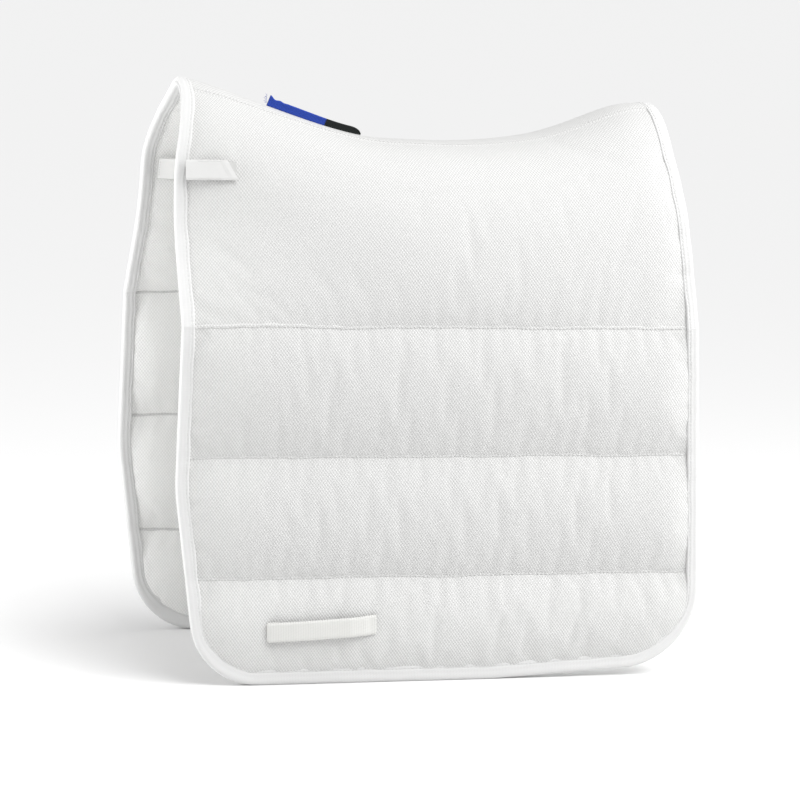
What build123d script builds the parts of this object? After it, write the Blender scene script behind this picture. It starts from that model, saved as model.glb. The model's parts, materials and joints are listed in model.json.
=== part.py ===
"""Dressage saddle pad: a curved panel over the horse's back, with a flap of three quilted channels each side.

X runs along the spine towards the tail, -Y is the horse's left side and +Z is up. The origin is on the
underside of the spine at mid-length, where the pad sits on the horse's back. Lengths are in millimetres.
"""

from build123d import *
import math
import os

# Widths and heights
HALF_WIDTH = 121.0  # from the spine to the middle of each flap's thickness
FIRST_SEAM, SECOND_SEAM, THIRD_SEAM = -163.0, -293.0, -415.0  # heights of the seams where a flap bends
BOTTOM = -523.0
SPINE_THICKNESS = 11.5

# Layers, all measured through the thickness
SKIN = 1.5  # spacer mesh cover and lining
GAP = 0.2  # between layers that lie on each other
CHANNEL_HALF = 9.0  # half the thickness of a filled channel
SEAM_HALF = 1.0  # half the thickness where it is stitched flat
SEAM_CLEARANCE = 0.9  # from a seam's bending line to the stitched edge of the channel
BINDING_HALF = 4.0
BINDING_WIDTH = 12.0
BEND_ROOM = 2.0  # the binding stops this far from a seam's bending line
EDGE_TAPER = 35.0  # how far in from the binding a channel reaches its full thickness
REACH = 400.0  # longer than the pad, for cutting shapes

# The side view's outline as (x, z, corner radius), from the front of the withers round the bottom to the rear
OUTLINE = [
    (-262, 160, 0),
    (-262, 55, 45),
    (-277, -10, 150),
    (-277, -325, 150),
    (-246.5, BOTTOM, 72),
    (60, BOTTOM, 400),
    (285, -511, 82),
    (262, -135, 300),
    (245, 25, 100),
    (245, 160, 0),
]

# Half cross-sections of the top panel's middle surface as (y, z), from the spine to the first seam
SEAM_EDGE = (HALF_WIDTH, FIRST_SEAM + SEAM_CLEARANCE)
FRONT_SECTION = [(0, 67), (30, 50), (55, 20), (67, -14), (71, -48), (79, -78), (95, -113), (111, -143)]
FRONT_SECTION += [(117.5, -156), SEAM_EDGE]
MIDDLE_SECTION = [(0, SPINE_THICKNESS / 2), (34, 2.5), (62, -10), (84, -32), (99, -60), (109, -92)]
MIDDLE_SECTION += [(116, -124), (120, -146), (120.8, -156), SEAM_EDGE]
REAR_SECTION = [(0, 51), (32, 43), (57, 22), (75, -6), (92, -34), (102, -64), (108, -98), (114, -136)]
REAR_SECTION += [(118.5, -154), SEAM_EDGE]
PANEL_HALF = [SPINE_THICKNESS / 2, 6, 6.5, 7, 7.5, 8, 8, 6.5, 3.5, SEAM_HALF]  # half thickness at each point
FILLED = len(PANEL_HALF) - 1  # the foam stops at the last point but one, short of the stitched edge

# How far the section at each x has changed from the middle one towards the front (-) or the rear (+) one
STATIONS = [(-300, -1.0), (-258, -0.98), (-216, -0.78), (-170, -0.52), (-120, -0.26), (-70, -0.06)]
STATIONS += [(-15, 0.0), (45, 0.0), (100, 0.12), (150, 0.4), (195, 0.8), (235, 1.0), (300, 1.0)]

# Each channel's name, top and bottom, and where the front and rear bindings meet it
CHANNELS = [
    ("upper", FIRST_SEAM, SECOND_SEAM, -265, 253),
    ("middle", SECOND_SEAM, THIRD_SEAM, -261, 262),
    ("lower", THIRD_SEAM, BOTTOM, -252, 262),
]

# Straps and trim
SPINE_STRIP_HALF = 25.0
SPINE_STRIP_THICKNESS = 1.0
GIRTH_LENGTH, GIRTH_HEIGHT, GIRTH_THICKNESS = 112.0, 20.0, 2.0
GIRTH_X, GIRTH_Z, GIRTH_TILT = -123.0, -464.5, 3.0
GIRTH_ROOM = 6.0  # between the webbing and the cover
GIRTH_SEWN, GIRTH_RISE = 12.0, 12.0  # length of each sewn end, and of the slope that lifts the webbing off
D_STRAP_LENGTH, D_STRAP_HEIGHT, D_STRAP_THICKNESS = 45.0, 20.0, 1.6
D_STRAP_AXIS = (-262.0, 76.7, -15.0)  # the middle of the line at its front end that it opens about
D_STRAP_LEAN, D_STRAP_TOE = 12.5, 3.6  # degrees that the panel under it leans out downwards and rearwards
D_STRAP_CLEARANCE = 1.2  # from that line to the webbing
PATCH_LENGTH, PATCH_HEIGHT, PATCH_THICKNESS = 16.0, 16.0, 0.8
TAB_FRONT, TAB_REAR = -167.5, -71.5
TAB_JOIN = -107.0  # where blue meets black
TAB_HEIGHT, TAB_THICKNESS, TAB_LIFT = 10.0, 1.6, 0.5
LABEL_LENGTH, LABEL_HEIGHT, LABEL_THICKNESS = 20.0, 22.0, 0.8
LABEL_PLACE = (-252.0, 59.9, -29.0)

ACROSS = Plane(origin=(0, 0, 0), x_dir=(0, 1, 0), z_dir=(1, 0, 0))  # local x is Y, local y is Z


def side_prism(inset=0.0):
    """Everything inside the side view's outline moved in by inset, from the far left to the far right."""
    edge = FilletPolyline(*[(x, z) for x, z, _ in OUTLINE], radius=[r for _, _, r in OUTLINE[1:-1]])
    face = make_face(edge + Line(edge @ 1, edge @ 0))
    if inset:
        face = offset(face, amount=-inset)
    return extrude(Plane.XZ * face, amount=REACH, both=True)


def block(low, high):
    """A plain block between two corners, for cutting."""
    size = [b - a for a, b in zip(low, high)]
    centre = [(a + b) / 2 for a, b in zip(low, high)]
    return Pos(*centre) * Box(*size)


def slab(low_z, high_z):
    """A level layer."""
    return block((-REACH, -REACH, low_z), (REACH, REACH, high_z))


def moved_section(weight, distances):
    """The half section at a station, each point moved outwards by its distance."""
    end = FRONT_SECTION if weight < 0 else REAR_SECTION
    share = abs(weight)
    points = [(a + share * (c - a), b + share * (d - b)) for (a, b), (c, d) in zip(MIDDLE_SECTION, end)]
    before = [(-points[1][0], points[1][1])] + points[:-1]
    after = points[1:] + points[-1:]
    moved = []
    for (y, z), (y0, z0), (y1, z1), distance in zip(points, before, after, distances):
        length = math.hypot(y1 - y0, z1 - z0)
        moved.append((y + distance * (z0 - z1) / length, z + distance * (y1 - y0) / length))
    return moved


def both_halves(points):
    """A half section's points with their mirror images, from the left edge to the right edge."""
    return [(-y, z) for y, z in points[:0:-1]] + points


def shell(outer, inner):
    """The top panel's layer between two distances from its middle surface, left and right in one."""
    sections = []
    for x, weight in STATIONS:
        top = both_halves(moved_section(weight, outer))
        under = both_halves(moved_section(weight, inner))
        edges = [Spline(*top), Line(top[-1], under[-1]), Spline(*under[::-1]), Line(under[0], top[0])]
        sections.append(Pos(x, 0, 0) * (ACROSS * make_face(edges)))
    return loft(sections)


def lens(low_z, high_z, low_half, high_half, half):
    """A channel's cross-section run along X, thin at its edges and full in the middle."""
    middle = (low_z + high_z) / 2
    right = ThreePointArc((low_half, low_z), (half, middle), (high_half, high_z))
    left = ThreePointArc((-high_half, high_z), (-half, middle), (-low_half, low_z))
    face = make_face([right, Line(right @ 1, left @ 0), left, Line(left @ 1, right @ 0)])
    return Pos(0, HALF_WIDTH, 0) * extrude(ACROSS * face, amount=REACH, both=True)


def front_to_rear(front, rear, inset):
    """A prism that is as thick as a full channel, and comes down to the binding's thickness at both ends."""
    edge, full = BINDING_HALF - inset, CHANNEL_HALF + 1 - inset
    half = [(-REACH, edge), (front, edge), (front + EDGE_TAPER, full), (rear - EDGE_TAPER, full)]
    half += [(rear, edge), (REACH, edge)]
    points = half + [(x, -y) for x, y in half[::-1]]
    seen_from_above = make_face(Polyline(*points, close=True))
    return Pos(0, HALF_WIDTH, 0) * extrude(seen_from_above, amount=2 * REACH, both=True)


def pillow(channel, inset):
    """A filled channel on the right side, before its edges are cut, moved in by inset all round."""
    name, top, bottom, front, rear = channel
    seam_half = SEAM_HALF if not inset else SEAM_HALF / 2
    high_z = top - SEAM_CLEARANCE - 3 * inset
    if name == "lower":
        low_z, low_half = bottom + BINDING_WIDTH - BINDING_HALF, BINDING_HALF - inset - 0.4
    else:
        low_z, low_half = bottom + SEAM_CLEARANCE + 3 * inset, seam_half
    return lens(low_z, high_z, low_half, seam_half, CHANNEL_HALF - inset) & front_to_rear(front, rear, inset)


def placed(shape, side):
    """A shape made on the right side, on the side it belongs to."""
    return shape if side == "right" else mirror(shape, about=Plane.XZ)


def save(shape, name):
    """One node's STEP file."""
    shape.label = name
    export_step(shape, f"parts/{name}.step")


def make_top_panel(panel, ring):
    """The curved panel over the back: its layers, its strip, and the binding of its front and rear arches."""
    cover = shell(PANEL_HALF, [h - SKIN for h in PANEL_HALF[:-1]] + [GAP / 2]) & panel
    lining = shell([SKIN - h for h in PANEL_HALF[:-1]] + [-GAP / 2], [-h for h in PANEL_HALF]) & panel
    filling = [h - SKIN - GAP for h in PANEL_HALF[:FILLED]]
    filling[-1] -= 2 * GAP
    foam = shell(filling, [-h for h in filling]) & panel
    left = block((-REACH, -REACH, -REACH), (REACH, -GAP / 2, REACH))
    for layer, whole in (("cover", cover), ("foam", foam), ("lining", lining)):
        half = whole & left
        save(half, f"left_top_{layer}")
        save(mirror(half, about=Plane.XZ), f"right_top_{layer}")
    strip_under = [h + GAP for h in PANEL_HALF]
    strip = shell([h + SPINE_STRIP_THICKNESS for h in strip_under], strip_under) & panel
    across = block((-REACH, -SPINE_STRIP_HALF, -REACH), (REACH, SPINE_STRIP_HALF, REACH))
    save(strip & across, "spine_strip")
    edge = [BINDING_HALF] * len(PANEL_HALF)
    arches = shell(edge, [-h for h in edge]) & ring & slab(FIRST_SEAM + BEND_ROOM, REACH)
    save(arches & block((-REACH, -REACH, -REACH), (0, REACH, REACH)), "front_arch_binding")
    save(arches & block((0, -REACH, -REACH), (REACH, REACH, REACH)), "rear_arch_binding")


def make_channel(channel, panel, ring):
    """One quilted channel on each side: cover, foam, lining and the binding of its edges."""
    name, top, bottom, front, rear = channel
    full = pillow(channel, 0.0) & panel
    skins = full - pillow(channel, SKIN)
    outer = block((-REACH, HALF_WIDTH + GAP / 2, -2 * REACH), (REACH, REACH, REACH))
    inner = block((-REACH, 0, -2 * REACH), (REACH, HALF_WIDTH - GAP / 2, REACH))
    foam = pillow(channel, SKIN + GAP) & panel
    band = block((-REACH, HALF_WIDTH - BINDING_HALF, -2 * REACH), (REACH, HALF_WIDTH + BINDING_HALF, REACH))
    lowest = bottom - REACH if name == "lower" else bottom + BEND_ROOM
    binding = ring & band & slab(lowest, top - BEND_ROOM)
    for side in ("left", "right"):
        save(placed(skins & outer, side), f"{side}_{name}_cover")
        save(placed(foam, side), f"{side}_{name}_foam")
        save(placed(skins & inner, side), f"{side}_{name}_lining")
        if name == "lower":
            save(placed(binding, side), f"{side}_lower_binding")
        else:
            at_front = block((-REACH, 0, BOTTOM), (0, REACH, 0))
            at_rear = block((0, 0, BOTTOM), (REACH, REACH, 0))
            save(placed(binding & at_front, side), f"{side}_{name}_front_binding")
            save(placed(binding & at_rear, side), f"{side}_{name}_rear_binding")


def make_girth_strap():
    """The webbing keeper on each lower channel that the girth passes through, sewn down at both ends."""
    half, flat = GIRTH_LENGTH / 2, GIRTH_LENGTH / 2 - GIRTH_SEWN
    lifted = flat - GIRTH_RISE
    line = [(-half, 0), (-flat, 0), (-lifted, GIRTH_ROOM), (lifted, GIRTH_ROOM), (flat, 0), (half, 0)]
    points = line + [(x, y + GIRTH_THICKNESS) for x, y in line[::-1]]
    strap = extrude(make_face(Polyline(*points, close=True)), amount=GIRTH_HEIGHT / 2, both=True)
    surface = HALF_WIDTH + CHANNEL_HALF + GAP
    strap = Pos(GIRTH_X, surface, GIRTH_Z) * (Rot(0, -GIRTH_TILT, 0) * strap)
    for side in ("left", "right"):
        save(placed(strap, side), f"{side}_girth_strap")


def on_d_strap(length, height, thickness, start, under):
    """A flat piece lying along the D-ring strap, start behind its opening line and under it by so much."""
    piece = Pos(start + length / 2, thickness / 2 - under, 0) * Box(length, thickness, height)
    return Pos(*D_STRAP_AXIS) * (Rot(D_STRAP_LEAN, 0, 0) * (Rot(0, 0, D_STRAP_TOE) * piece))


def make_d_straps():
    """The strap at the front of each side that closes round the saddle's ring, with its touch fastener."""
    far_end = D_STRAP_CLEARANCE + D_STRAP_LENGTH - PATCH_LENGTH - 2
    strap = on_d_strap(D_STRAP_LENGTH, D_STRAP_HEIGHT, D_STRAP_THICKNESS, D_STRAP_CLEARANCE, 0)
    hook = on_d_strap(PATCH_LENGTH, PATCH_HEIGHT, PATCH_THICKNESS, far_end, PATCH_THICKNESS)
    loop = on_d_strap(PATCH_LENGTH, PATCH_HEIGHT, PATCH_THICKNESS, far_end, 2 * PATCH_THICKNESS + GAP)
    for side in ("left", "right"):
        save(placed(strap, side), f"{side}_d_ring_strap")
        save(placed(hook, side), f"{side}_hook_patch")
        save(placed(loop, side), f"{side}_loop_patch")


def spine_top(x):
    """Height of the spine strip's top at x."""
    for (x0, w0), (x1, w1) in zip(STATIONS, STATIONS[1:]):
        if x0 <= x <= x1:
            weight = w0 + (w1 - w0) * (x - x0) / (x1 - x0)
    end = FRONT_SECTION if weight < 0 else REAR_SECTION
    middle = MIDDLE_SECTION[0][1] + abs(weight) * (end[0][1] - MIDDLE_SECTION[0][1])
    return middle + SPINE_THICKNESS / 2 + GAP + SPINE_STRIP_THICKNESS


def make_wither_tab():
    """The two-coloured fabric tab that stands on the spine behind the withers."""
    places = [TAB_FRONT, -155, -138, -120, TAB_JOIN, -85, TAB_REAR]
    foot = [(x, spine_top(x) + TAB_LIFT) for x in places]
    top = [(x + TAB_HEIGHT * 0.3, z + TAB_HEIGHT) for x, z in foot]
    outline = [Spline(*foot), Line(foot[-1], top[-1]), Spline(*top[::-1]), Line(top[0], foot[0])]
    tab = extrude(Plane.XZ * make_face(outline), amount=TAB_THICKNESS / 2, both=True)
    blue = block((-REACH, -REACH, -REACH), (TAB_JOIN, REACH, REACH))
    black = block((TAB_JOIN, -REACH, -REACH), (REACH, REACH, REACH))
    save(tab & blue, "wither_tab_blue")
    save(tab & black, "wither_tab_black")


def make_label():
    """The blank label sewn inside the far front edge."""
    label = Rot(D_STRAP_LEAN, 0, 0) * Box(LABEL_LENGTH, LABEL_THICKNESS, LABEL_HEIGHT)
    save(Pos(*LABEL_PLACE) * label, "care_label")


os.makedirs("parts", exist_ok=True)
edge_ring = side_prism() - side_prism(BINDING_WIDTH)
inside_binding = side_prism(BINDING_WIDTH + GAP)
make_top_panel(inside_binding, edge_ring)
for each in CHANNELS:
    make_channel(each, inside_binding, edge_ring)
make_girth_strap()
make_d_straps()
make_wither_tab()
make_label()
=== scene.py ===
"""The visible pieces of a quilted dressage saddle pad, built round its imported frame. Lengths are in metres.

X runs along the spine towards the tail, -Y is the horse's left side and +Z is up. Every piece is made on the
right side, and the left one is its mirror image.
"""
import json
import math

import bpy
import numpy as np
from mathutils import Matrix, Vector
from mathutils.bvhtree import BVHTree


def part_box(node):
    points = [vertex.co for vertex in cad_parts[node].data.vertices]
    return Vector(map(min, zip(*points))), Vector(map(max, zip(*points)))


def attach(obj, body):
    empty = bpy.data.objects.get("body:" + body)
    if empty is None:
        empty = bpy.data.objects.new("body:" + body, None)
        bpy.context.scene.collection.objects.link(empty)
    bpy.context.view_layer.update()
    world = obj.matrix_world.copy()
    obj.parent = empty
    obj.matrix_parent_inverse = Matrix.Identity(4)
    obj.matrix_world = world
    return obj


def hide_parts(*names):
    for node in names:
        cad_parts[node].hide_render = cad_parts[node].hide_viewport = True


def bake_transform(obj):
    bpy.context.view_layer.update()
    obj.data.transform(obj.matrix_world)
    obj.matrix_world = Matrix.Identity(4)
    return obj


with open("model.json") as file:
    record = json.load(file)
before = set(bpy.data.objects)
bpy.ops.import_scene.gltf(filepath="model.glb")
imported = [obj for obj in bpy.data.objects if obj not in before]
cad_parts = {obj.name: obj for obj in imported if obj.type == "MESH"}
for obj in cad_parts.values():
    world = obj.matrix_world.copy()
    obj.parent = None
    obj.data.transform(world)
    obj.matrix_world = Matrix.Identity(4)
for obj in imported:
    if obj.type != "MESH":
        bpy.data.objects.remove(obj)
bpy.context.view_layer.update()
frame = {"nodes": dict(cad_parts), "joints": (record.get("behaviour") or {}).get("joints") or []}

MM = 0.001
SIDES = (("left", -1.0), ("right", 1.0))

# Hinge lines of the flaps, read from the frame
HINGES = {joint["name"]: joint["pos_m"] for joint in frame["joints"]}
HALF_WIDTH = abs(HINGES["right_upper_seam_bend"][1])
SEAMS = [HINGES[f"right_{name}_seam_bend"][2] for name in ("upper", "middle", "lower")]
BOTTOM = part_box("right_lower_binding")[0].z
CHANNELS = ("upper", "middle", "lower")
BODIES = ("top_arch", "{}_upper_channel", "{}_middle_channel", "{}_lower_channel")

# The side view's outline as (x, z, corner radius), from the front of the withers round the bottom to the rear
OUTLINE = [
    (-262, 160, 0),
    (-262, 55, 45),
    (-277, -10, 150),
    (-277, -325, 150),
    (-246.5, -523, 72),
    (60, -523, 400),
    (285, -511, 82),
    (262, -135, 300),
    (245, 25, 100),
    (245, 160, 0),
]

# Thicknesses, measured each way from the middle surface
SEAM_HALF = 0.3 * MM
FULL_HALF = 10.4 * MM
PANEL_HALF = 8.2 * MM
SPINE_HALF = 5.75 * MM
SKIN = 1.2 * MM
LINING_SHARE = 0.9  # the filling bulges less towards the horse
TUCK = 9.0 * MM  # how far inside the outline the fabric ends, under the binding
TUCK_HALF = 3.2 * MM  # half thickness there
EDGE_TAPER = 40 * MM
BINDING_WIDTH = 12.6 * MM
HEM_EXTRA = 5.0 * MM  # how much wider the binding is along the bottom
PANEL_REACH = 62 * MM  # how far above the first seam the top panel reaches its full thickness
PANEL_DOWN, PANEL_ALONG = 0.26, 0.52  # about how much cloth it takes each way
SEAM_DROOP, DROOP_LENGTH = 2.2 * MM, 0.022  # how the first seam sinks at the front
PUCKER, PUCKER_LENGTH, PUCKER_REACH = 0.35 * MM, 0.024, 0.012

# Mesh spacing
FINE = 3.0 * MM
COARSE = 5.5 * MM  # for the cloth simulation
PATH_STEP = 3.5 * MM

# Pressure that fills the channels
PRESSURE = 4.0
MOST_DOWN, MOST_UP = -3 * MM, 2.5 * MM  # how far the simulation may move the cloth
GROWTH = 0.012  # spare cloth, as a share of its length
CLOTH_FRAMES = 20
CLOTH_SHARE = 0.5  # how much of the filled shape comes from the simulation

# Weave cell of the spacer mesh, along and across the rows
CELL_ALONG = 3.1 * MM
CELL_UP = 4.0 * MM


# ---- small mathematics

def unit(vectors):
    """Each vector at length 1."""
    return vectors / np.maximum(np.linalg.norm(vectors, axis=-1, keepdims=True), 1e-12)


def smooth_step(values, low, high):
    """0 below low, 1 above high, and a soft curve between."""
    t = np.clip((values - low) / (high - low), 0, 1)
    return t * t * (3 - 2 * t)


def ripple(values, wavelength, seed):
    """A gentle uneven wave between about -1 and 1."""
    total = 0
    for share, phase in ((1.0, 1.3), (0.71, 2.9), (1.47, 4.4)):
        total = total + np.sin(2 * math.pi * values / (wavelength * share) + phase * (seed + 1.7))
    return total / 2.4


def stretched(grid, rows, columns):
    """A grid of values brought to another number of rows and columns along smooth curves."""
    for axis, count in ((0, rows), (1, columns)):
        grid = np.moveaxis(grid, axis, 0)
        last = len(grid) - 1
        place = np.linspace(0, last, count)
        start = np.minimum(place.astype(int), last - 1)
        t = (place - start).reshape((-1,) + (1,) * (grid.ndim - 1))
        p0, p1, p2, p3 = (grid[np.clip(start + k, 0, last)] for k in (-1, 0, 1, 2))
        curve = 2 * p1 + t * (p2 - p0) + t**2 * (2 * p0 - 5 * p1 + 4 * p2 - p3)
        grid = (curve + t**3 * (3 * p1 - p0 - 3 * p2 + p3)) / 2
        grid = np.moveaxis(grid, 0, axis)
    return grid


def soften(rows):
    """Averages each row with its neighbours, the two end rows kept."""
    rows[1:-1] = (rows[:-2] + 2 * rows[1:-1] + rows[2:]) / 4


# ---- the outline and the middle surface

def outline(inset, step=PATH_STEP):
    """The side view's outline moved in by inset: (x, z) points a step apart, from front top to rear top."""
    corners = [np.array((x, z)) * MM for x, z, _ in OUTLINE]
    radii = [radius * MM for _, _, radius in OUTLINE]
    ways = [unit(b - a) for a, b in zip(corners, corners[1:])]
    turns = [a[0] * b[1] - a[1] * b[0] for a, b in zip(ways, ways[1:])]
    line = [corners[0] + inset * np.array((-ways[0][1], ways[0][0]))]
    for i, turn in enumerate(turns, start=1):
        before, after = ways[i - 1], ways[i]
        angle = math.asin(max(-1.0, min(1.0, turn)))
        inward = unit(after - before) * math.copysign(1, turn)
        corner = corners[i] + inward * inset / math.cos(angle / 2)
        radius = radii[i] - inset * math.copysign(1, turn)
        cut = radius * math.tan(abs(angle) / 2)
        centre = corner - before * cut + np.array((-before[1], before[0])) * radius * math.copysign(1, turn)
        count = max(2, round(radius * abs(angle) / step))
        for k in range(count + 1):
            turned = (k / count - 0.5) * angle
            out = unit(corner - centre)
            line.append(centre + radius * np.array((
                out[0] * math.cos(turned) - out[1] * math.sin(turned),
                out[0] * math.sin(turned) + out[1] * math.cos(turned),
            )))
    line.append(corners[-1] + inset * np.array((-ways[-1][1], ways[-1][0])))
    return evenly(np.array(line), step)


def lengths(points):
    """Length along a line of points up to each of them."""
    return np.concatenate(([0], np.cumsum(np.linalg.norm(np.diff(points, axis=0), axis=1))))


def sampled(places, along, points):
    """Points of a line at places along it, from the length up to each of its own points."""
    return np.stack([np.interp(places, along, column) for column in points.T], axis=-1)


def evenly(points, step):
    """Points along the same line, a step apart."""
    along = lengths(points)
    return sampled(np.linspace(0, along[-1], max(2, round(along[-1] / step)) + 1), along, points)


def line_between(points, share):
    """Points along a line of points at shares of its length."""
    along = lengths(points)
    return sampled(share * along[-1], along, points)


def woven(along, across):
    """Weave coordinates from how far along and across the cloth each point is."""
    return np.stack(np.broadcast_arrays(along, across), axis=-1)


EDGE = outline(0)
FRONT_EDGE = EDGE[: np.argmin(EDGE[:, 1] + 0.001 * EDGE[:, 0])]
REAR_EDGE = EDGE[np.argmax(EDGE[:, 0]):]


def edge_x(edge, z):
    """Where a front or rear edge is at a height."""
    x, height = edge[np.argsort(edge[:, 1])].T
    return np.interp(z, height, x)


def front_x(z, inset=0.0):
    """Where the front edge is at a height."""
    return edge_x(FRONT_EDGE, z) + inset


def rear_x(z, inset=0.0):
    """Where the rear edge is at a height."""
    return edge_x(REAR_EDGE, z) - inset


def tree_of(*nodes):
    """A search tree over some of the frame's nodes."""
    points, faces = [], []
    for node in nodes:
        mesh = frame["nodes"][node].data
        faces += [[len(points) + i for i in polygon.vertices] for polygon in mesh.polygons]
        points += [vertex.co.copy() for vertex in mesh.vertices]
    return BVHTree.FromPolygons(points, faces)


def middle_surface():
    """The top panel's middle surface: stations along x, and y and z from the spine to the first seam."""
    trees = tree_of("right_top_cover", "right_top_lining"), tree_of("front_arch_binding", "rear_arch_binding")
    stations = np.linspace(-277 * MM, 263 * MM, 136)
    angles = np.radians(np.linspace(89.7, 0.55, 110))
    far = 0.5
    radius = np.full((len(angles), len(stations)), np.nan)
    for i, angle in enumerate(angles):
        way = Vector((0, math.cos(angle), math.sin(angle)))
        for j, x in enumerate(stations):
            centre = Vector((x, 0, SEAMS[0]))
            for tree in trees:
                outer, inner = tree.ray_cast(centre + way * far, -way)[0], tree.ray_cast(centre, way)[0]
                if outer and inner:
                    radius[i, j] = ((outer - centre).length + (inner - centre).length) / 2
                    break
        known = np.isfinite(radius[i])
        radius[i] = np.interp(stations, stations[known], radius[i, known])
    for _ in range(8):
        soften(radius)
        soften(radius.T)
    y = radius * np.cos(angles)[:, None]
    z = SEAMS[0] + radius * np.sin(angles)[:, None]
    y[0] = 0
    y[-1], z[-1] = HALF_WIDTH, SEAMS[0]
    return stations, y, z


def by_length(stations, y, z, rows=140):
    """The same surface with its rows evenly spaced along each section."""
    even_y, even_z = np.empty((rows, len(stations))), np.empty((rows, len(stations)))
    share = np.linspace(0, 1, rows)
    for j in range(len(stations)):
        along = np.concatenate(([0], np.cumsum(np.hypot(np.diff(y[:, j]), np.diff(z[:, j])))))
        even_y[:, j] = np.interp(share * along[-1], along, y[:, j])
        even_z[:, j] = np.interp(share * along[-1], along, z[:, j])
    return even_y, even_z


STATIONS_X, SECTION_Y, SECTION_Z = middle_surface()
SECTION_Y, SECTION_Z = by_length(STATIONS_X, SECTION_Y, SECTION_Z)


def looked_up(table, share, x):
    """A value of a section table at a share of the way down from the spine and at x."""
    rows, columns = table.shape
    i = np.clip(share, 0, 1) * (rows - 1)
    j = np.clip((x - STATIONS_X[0]) / (STATIONS_X[-1] - STATIONS_X[0]), 0, 1) * (columns - 1)
    i0, j0 = np.minimum(i.astype(int), rows - 2), np.minimum(j.astype(int), columns - 2)
    a, b = i - i0, j - j0
    top = table[i0, j0] * (1 - b) + table[i0, j0 + 1] * b
    low = table[i0 + 1, j0] * (1 - b) + table[i0 + 1, j0 + 1] * b
    return top * (1 - a) + low * a


def panel_points(share, across, inset):
    """Points of the panel's middle surface, by shares from spine to seam and across from front to rear."""
    share, across = np.broadcast_arrays(share, across)
    x = across * 0.5 - 0.26
    for _ in range(6):
        z = looked_up(SECTION_Z, share, x)
        x = front_x(z, inset) * (1 - across) + rear_x(z, inset) * across
    return np.stack([x, looked_up(SECTION_Y, share, x), looked_up(SECTION_Z, share, x)], axis=-1)


def grid_normals(points):
    """Outward directions of a right-side surface, with rows downwards and columns towards the rear."""
    down, along = np.gradient(points, axis=0), np.gradient(points, axis=1)
    return unit(np.cross(along, down))


# ---- building meshes

THREAD_SLOT = 1  # a piece's first material is its cloth, its second the thread of its stitches


def placed(name, data):
    """A new object in the scene."""
    made = bpy.data.objects.new(name, data)
    bpy.context.scene.collection.objects.link(made)
    return made


class Piece:
    """The points, faces and weave coordinates of one piece while it is being made."""

    def __init__(self):
        self.points, self.faces, self.corners, self.slots = [], [], [], []
        self.sharp = set()
        self.count = 0

    def add_points(self, points):
        """Adds points and returns their numbers, in the same layout."""
        flat = points.reshape(-1, 3)
        numbers = self.count + np.arange(len(flat)).reshape(points.shape[:-1])
        self.points.append(flat)
        self.count += len(flat)
        return numbers

    def add_faces(self, faces, corners, slot=0):
        """Adds faces with the weave coordinates of their corners."""
        self.faces += [list(map(int, face)) for face in faces]
        self.corners += [corner for face in corners for corner in face]
        self.slots += [slot] * len(faces)

    def add_quads(self, numbers, weave, slot=0):
        """Adds the quads of a grid of point numbers."""
        def ring(grid):
            parts = grid[:-1, :-1], grid[1:, :-1], grid[1:, 1:], grid[:-1, 1:]
            return np.stack(parts, axis=2).reshape((-1, 4) + grid.shape[2:])
        self.add_faces(ring(numbers), ring(weave), slot)

    def add_tube(self, rings, weave, slot=0):
        """Adds a closed tube with its two ends shut, from rings of points."""
        numbers = self.add_points(rings)
        around = np.concatenate([numbers, numbers[:, :1]], axis=1)
        self.add_quads(around, weave, slot)
        for end, way in ((0, 1), (-1, -1)):
            face, corners = list(numbers[end])[::way], [tuple(c) for c in weave[end, :-1]][::way]
            self.add_faces([face], [corners], slot)
            self.sharp |= {frozenset(pair) for pair in zip(face, face[1:] + face[:1])}

    def finished(self, name, slot, side, *nodes, material=None):
        """The Blender object that stands for some of the frame's nodes, mirrored for the left side."""
        points = np.concatenate(self.points) * (1, side, 1)
        faces, corners = self.faces, np.array(self.corners, dtype=float)
        if side < 0:
            starts = np.cumsum([0] + [len(face) for face in faces])
            order = np.concatenate([np.arange(b - 1, a - 1, -1) for a, b in zip(starts, starts[1:])])
            corners = corners[order]
            faces = [face[::-1] for face in faces]
        mesh = bpy.data.meshes.new(name)
        mesh.from_pydata(points.tolist(), [], faces)
        layer = mesh.uv_layers.new(name="weave")
        layer.data.foreach_set("uv", corners.ravel())
        for used in (material or slot, "thread")[: 1 + max(self.slots)]:
            mesh.materials.append(MATERIALS[used])
        mesh.polygons.foreach_set("material_index", self.slots)
        mesh.polygons.foreach_set("use_smooth", [True] * len(faces))
        for edge in mesh.edges:
            if self.sharp and frozenset(edge.vertices) in self.sharp:
                edge.use_edge_sharp = True
        made = placed(name, mesh)
        if nodes:
            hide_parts(*nodes)
        return made


def add_shell(piece, outer, inner, weave):
    """Adds a skin between two grids of points, closed round its edge."""
    a, b = piece.add_points(outer), piece.add_points(inner)
    piece.add_quads(a[:, ::-1], weave[:, ::-1])
    piece.add_quads(b, weave)
    for edge in (np.s_[0], np.s_[-1, ::-1], np.s_[::-1, 0], np.s_[:, -1]):
        piece.add_quads(np.stack([b[edge], a[edge]]), np.stack([weave[edge], weave[edge]]))


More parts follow.
